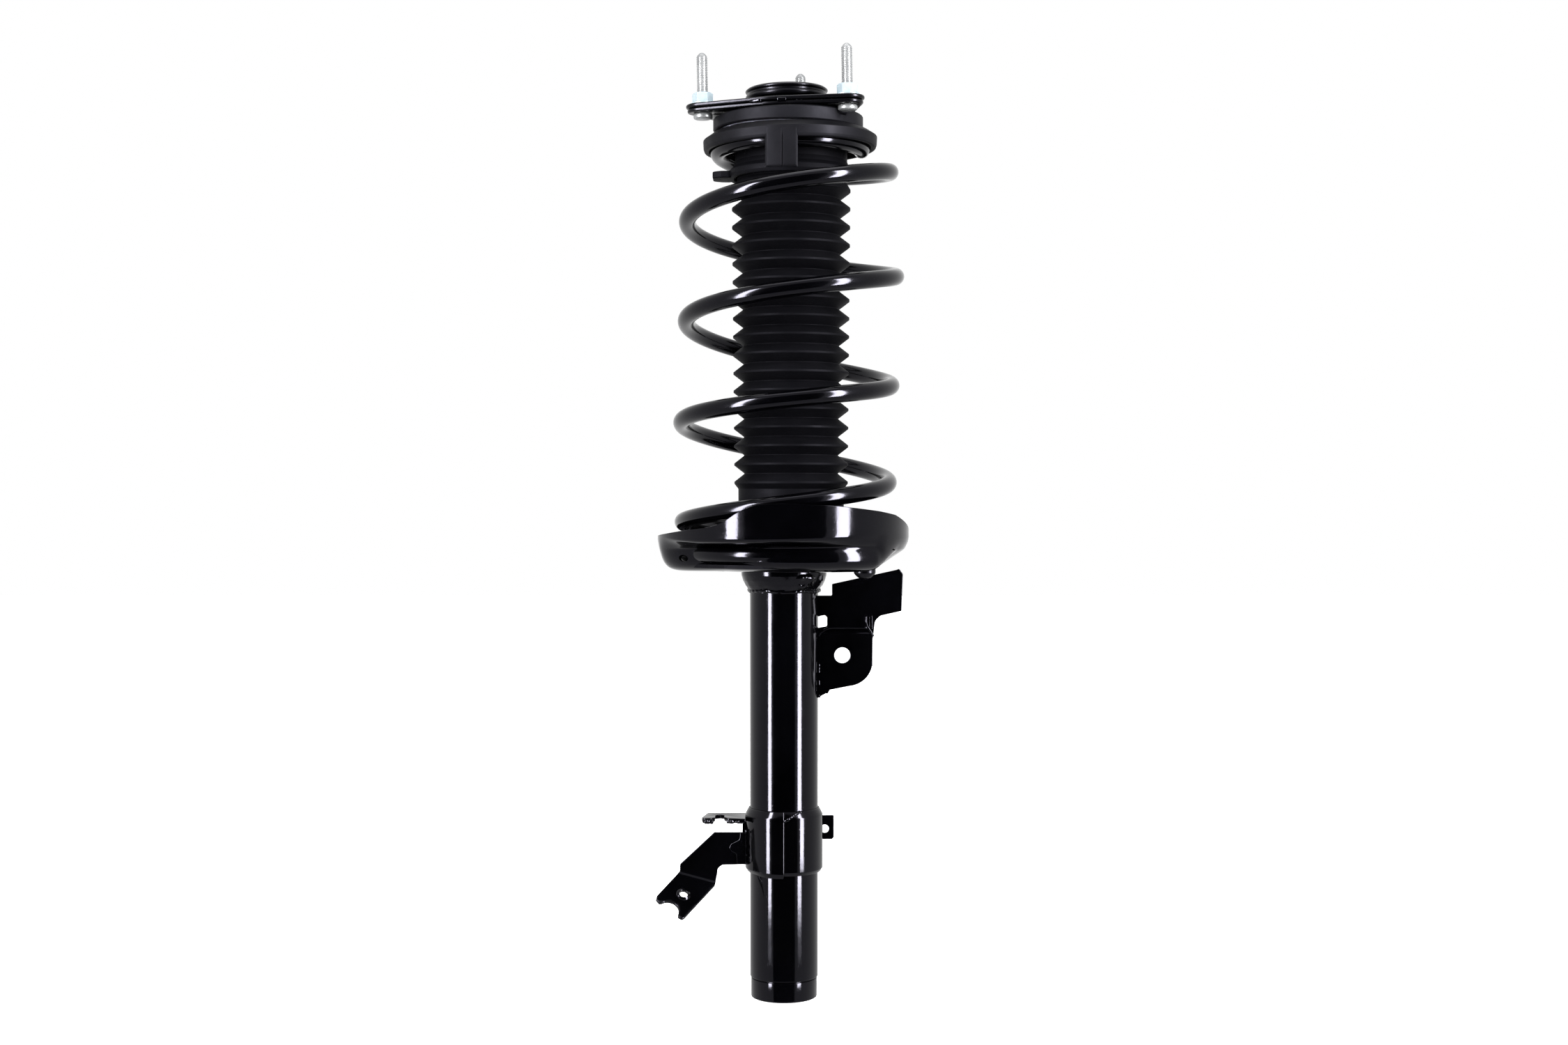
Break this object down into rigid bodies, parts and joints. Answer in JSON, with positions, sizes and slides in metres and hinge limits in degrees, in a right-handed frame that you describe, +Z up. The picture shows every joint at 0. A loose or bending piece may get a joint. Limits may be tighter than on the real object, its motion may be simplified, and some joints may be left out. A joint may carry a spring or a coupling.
{
  "type": "suspension strut assembly",
  "caption": "Front suspension strut: damper tube in a coil spring and dust bellows, under a steering bearing and studded top mount, with hose and link brackets.",
  "frame": {"origin": "centre of the tube's closed flat lower end, on the damper axis", "axes": "+Z up along the damper axis towards the top mount, -Y the side the link bracket's drilled face looks to, +X from the damper axis towards the link bracket"},
  "size_m": [0.1834, 0.181, 0.6872],
  "materials": {
    "black_paint": "gloss",
    "black_rubber": "matte",
    "black_plastic": "matte",
    "zinc_plate": "satin, bright zinc",
    "hard_chrome": "polished",
    "plain_steel": "satin",
    "cast_alloy": "satin",
    "bump_foam": "matte foam",
    "bearing_resin": "matte"
  },
  "bodies": {
    "strut_body": {"outer_tube": "black_paint", "base_cup": "plain_steel", "base_valve": "cast_alloy", "inner_cylinder": "plain_steel", "rod_guide": "cast_alloy", "rod_seal": "black_rubber", "closing_washer": "plain_steel", "lower_spring_seat": "black_paint", "seat_collar": "black_paint", "lower_spring_pad": "black_rubber", "coil_spring": "black_paint", "dust_bellows": "black_rubber", "link_bracket": "black_paint", "locator_sleeve": "black_paint", "hose_bracket": "black_paint", "clip_plate": "black_paint", "rear_tab": "black_paint"},
    "spring_seat": {"upper_spring_seat": "black_plastic", "upper_insulator": "black_rubber", "bearing_lower_race": "plain_steel"},
    "top_mount": {"ball_cage": "bearing_resin", "bearing_upper_race": "plain_steel", "bearing_cover": "black_plastic", "mount_plate_lower": "black_paint", "mount_plate_upper": "black_paint", "mount_cup": "black_paint", "rubber_core": "black_rubber", "core_sleeve": "plain_steel", "mount_cap": "black_paint", "rod_nut": "plain_steel", "stud_1": "zinc_plate", "stud_2": "zinc_plate", "stud_3": "zinc_plate", "stud_nut_1": "zinc_plate", "stud_nut_2": "zinc_plate", "stud_nut_3": "zinc_plate", "piston_rod": "hard_chrome", "piston": "cast_alloy", "piston_ring": "bearing_resin", "piston_nut": "plain_steel", "rebound_stop": "black_rubber", "bump_stop": "bump_foam", "bump_stop_cup": "plain_steel"}
  },
  "joints": [
    {"name": "strut_travel", "type": "slide", "parent": "strut_body", "child": "spring_seat", "axis": [0, 0, 1], "range_m": [-0.15, 0], "stiffness_N_per_m": 25000, "springref_m": 0.02, "deforming": ["coil_spring", "dust_bellows"]},
    {"name": "mount_bearing", "type": "hinge", "parent": "spring_seat", "child": "top_mount", "pos_m": [0, 0, 0.634], "axis": [0, 0, 1], "continuous": true}
  ]
}
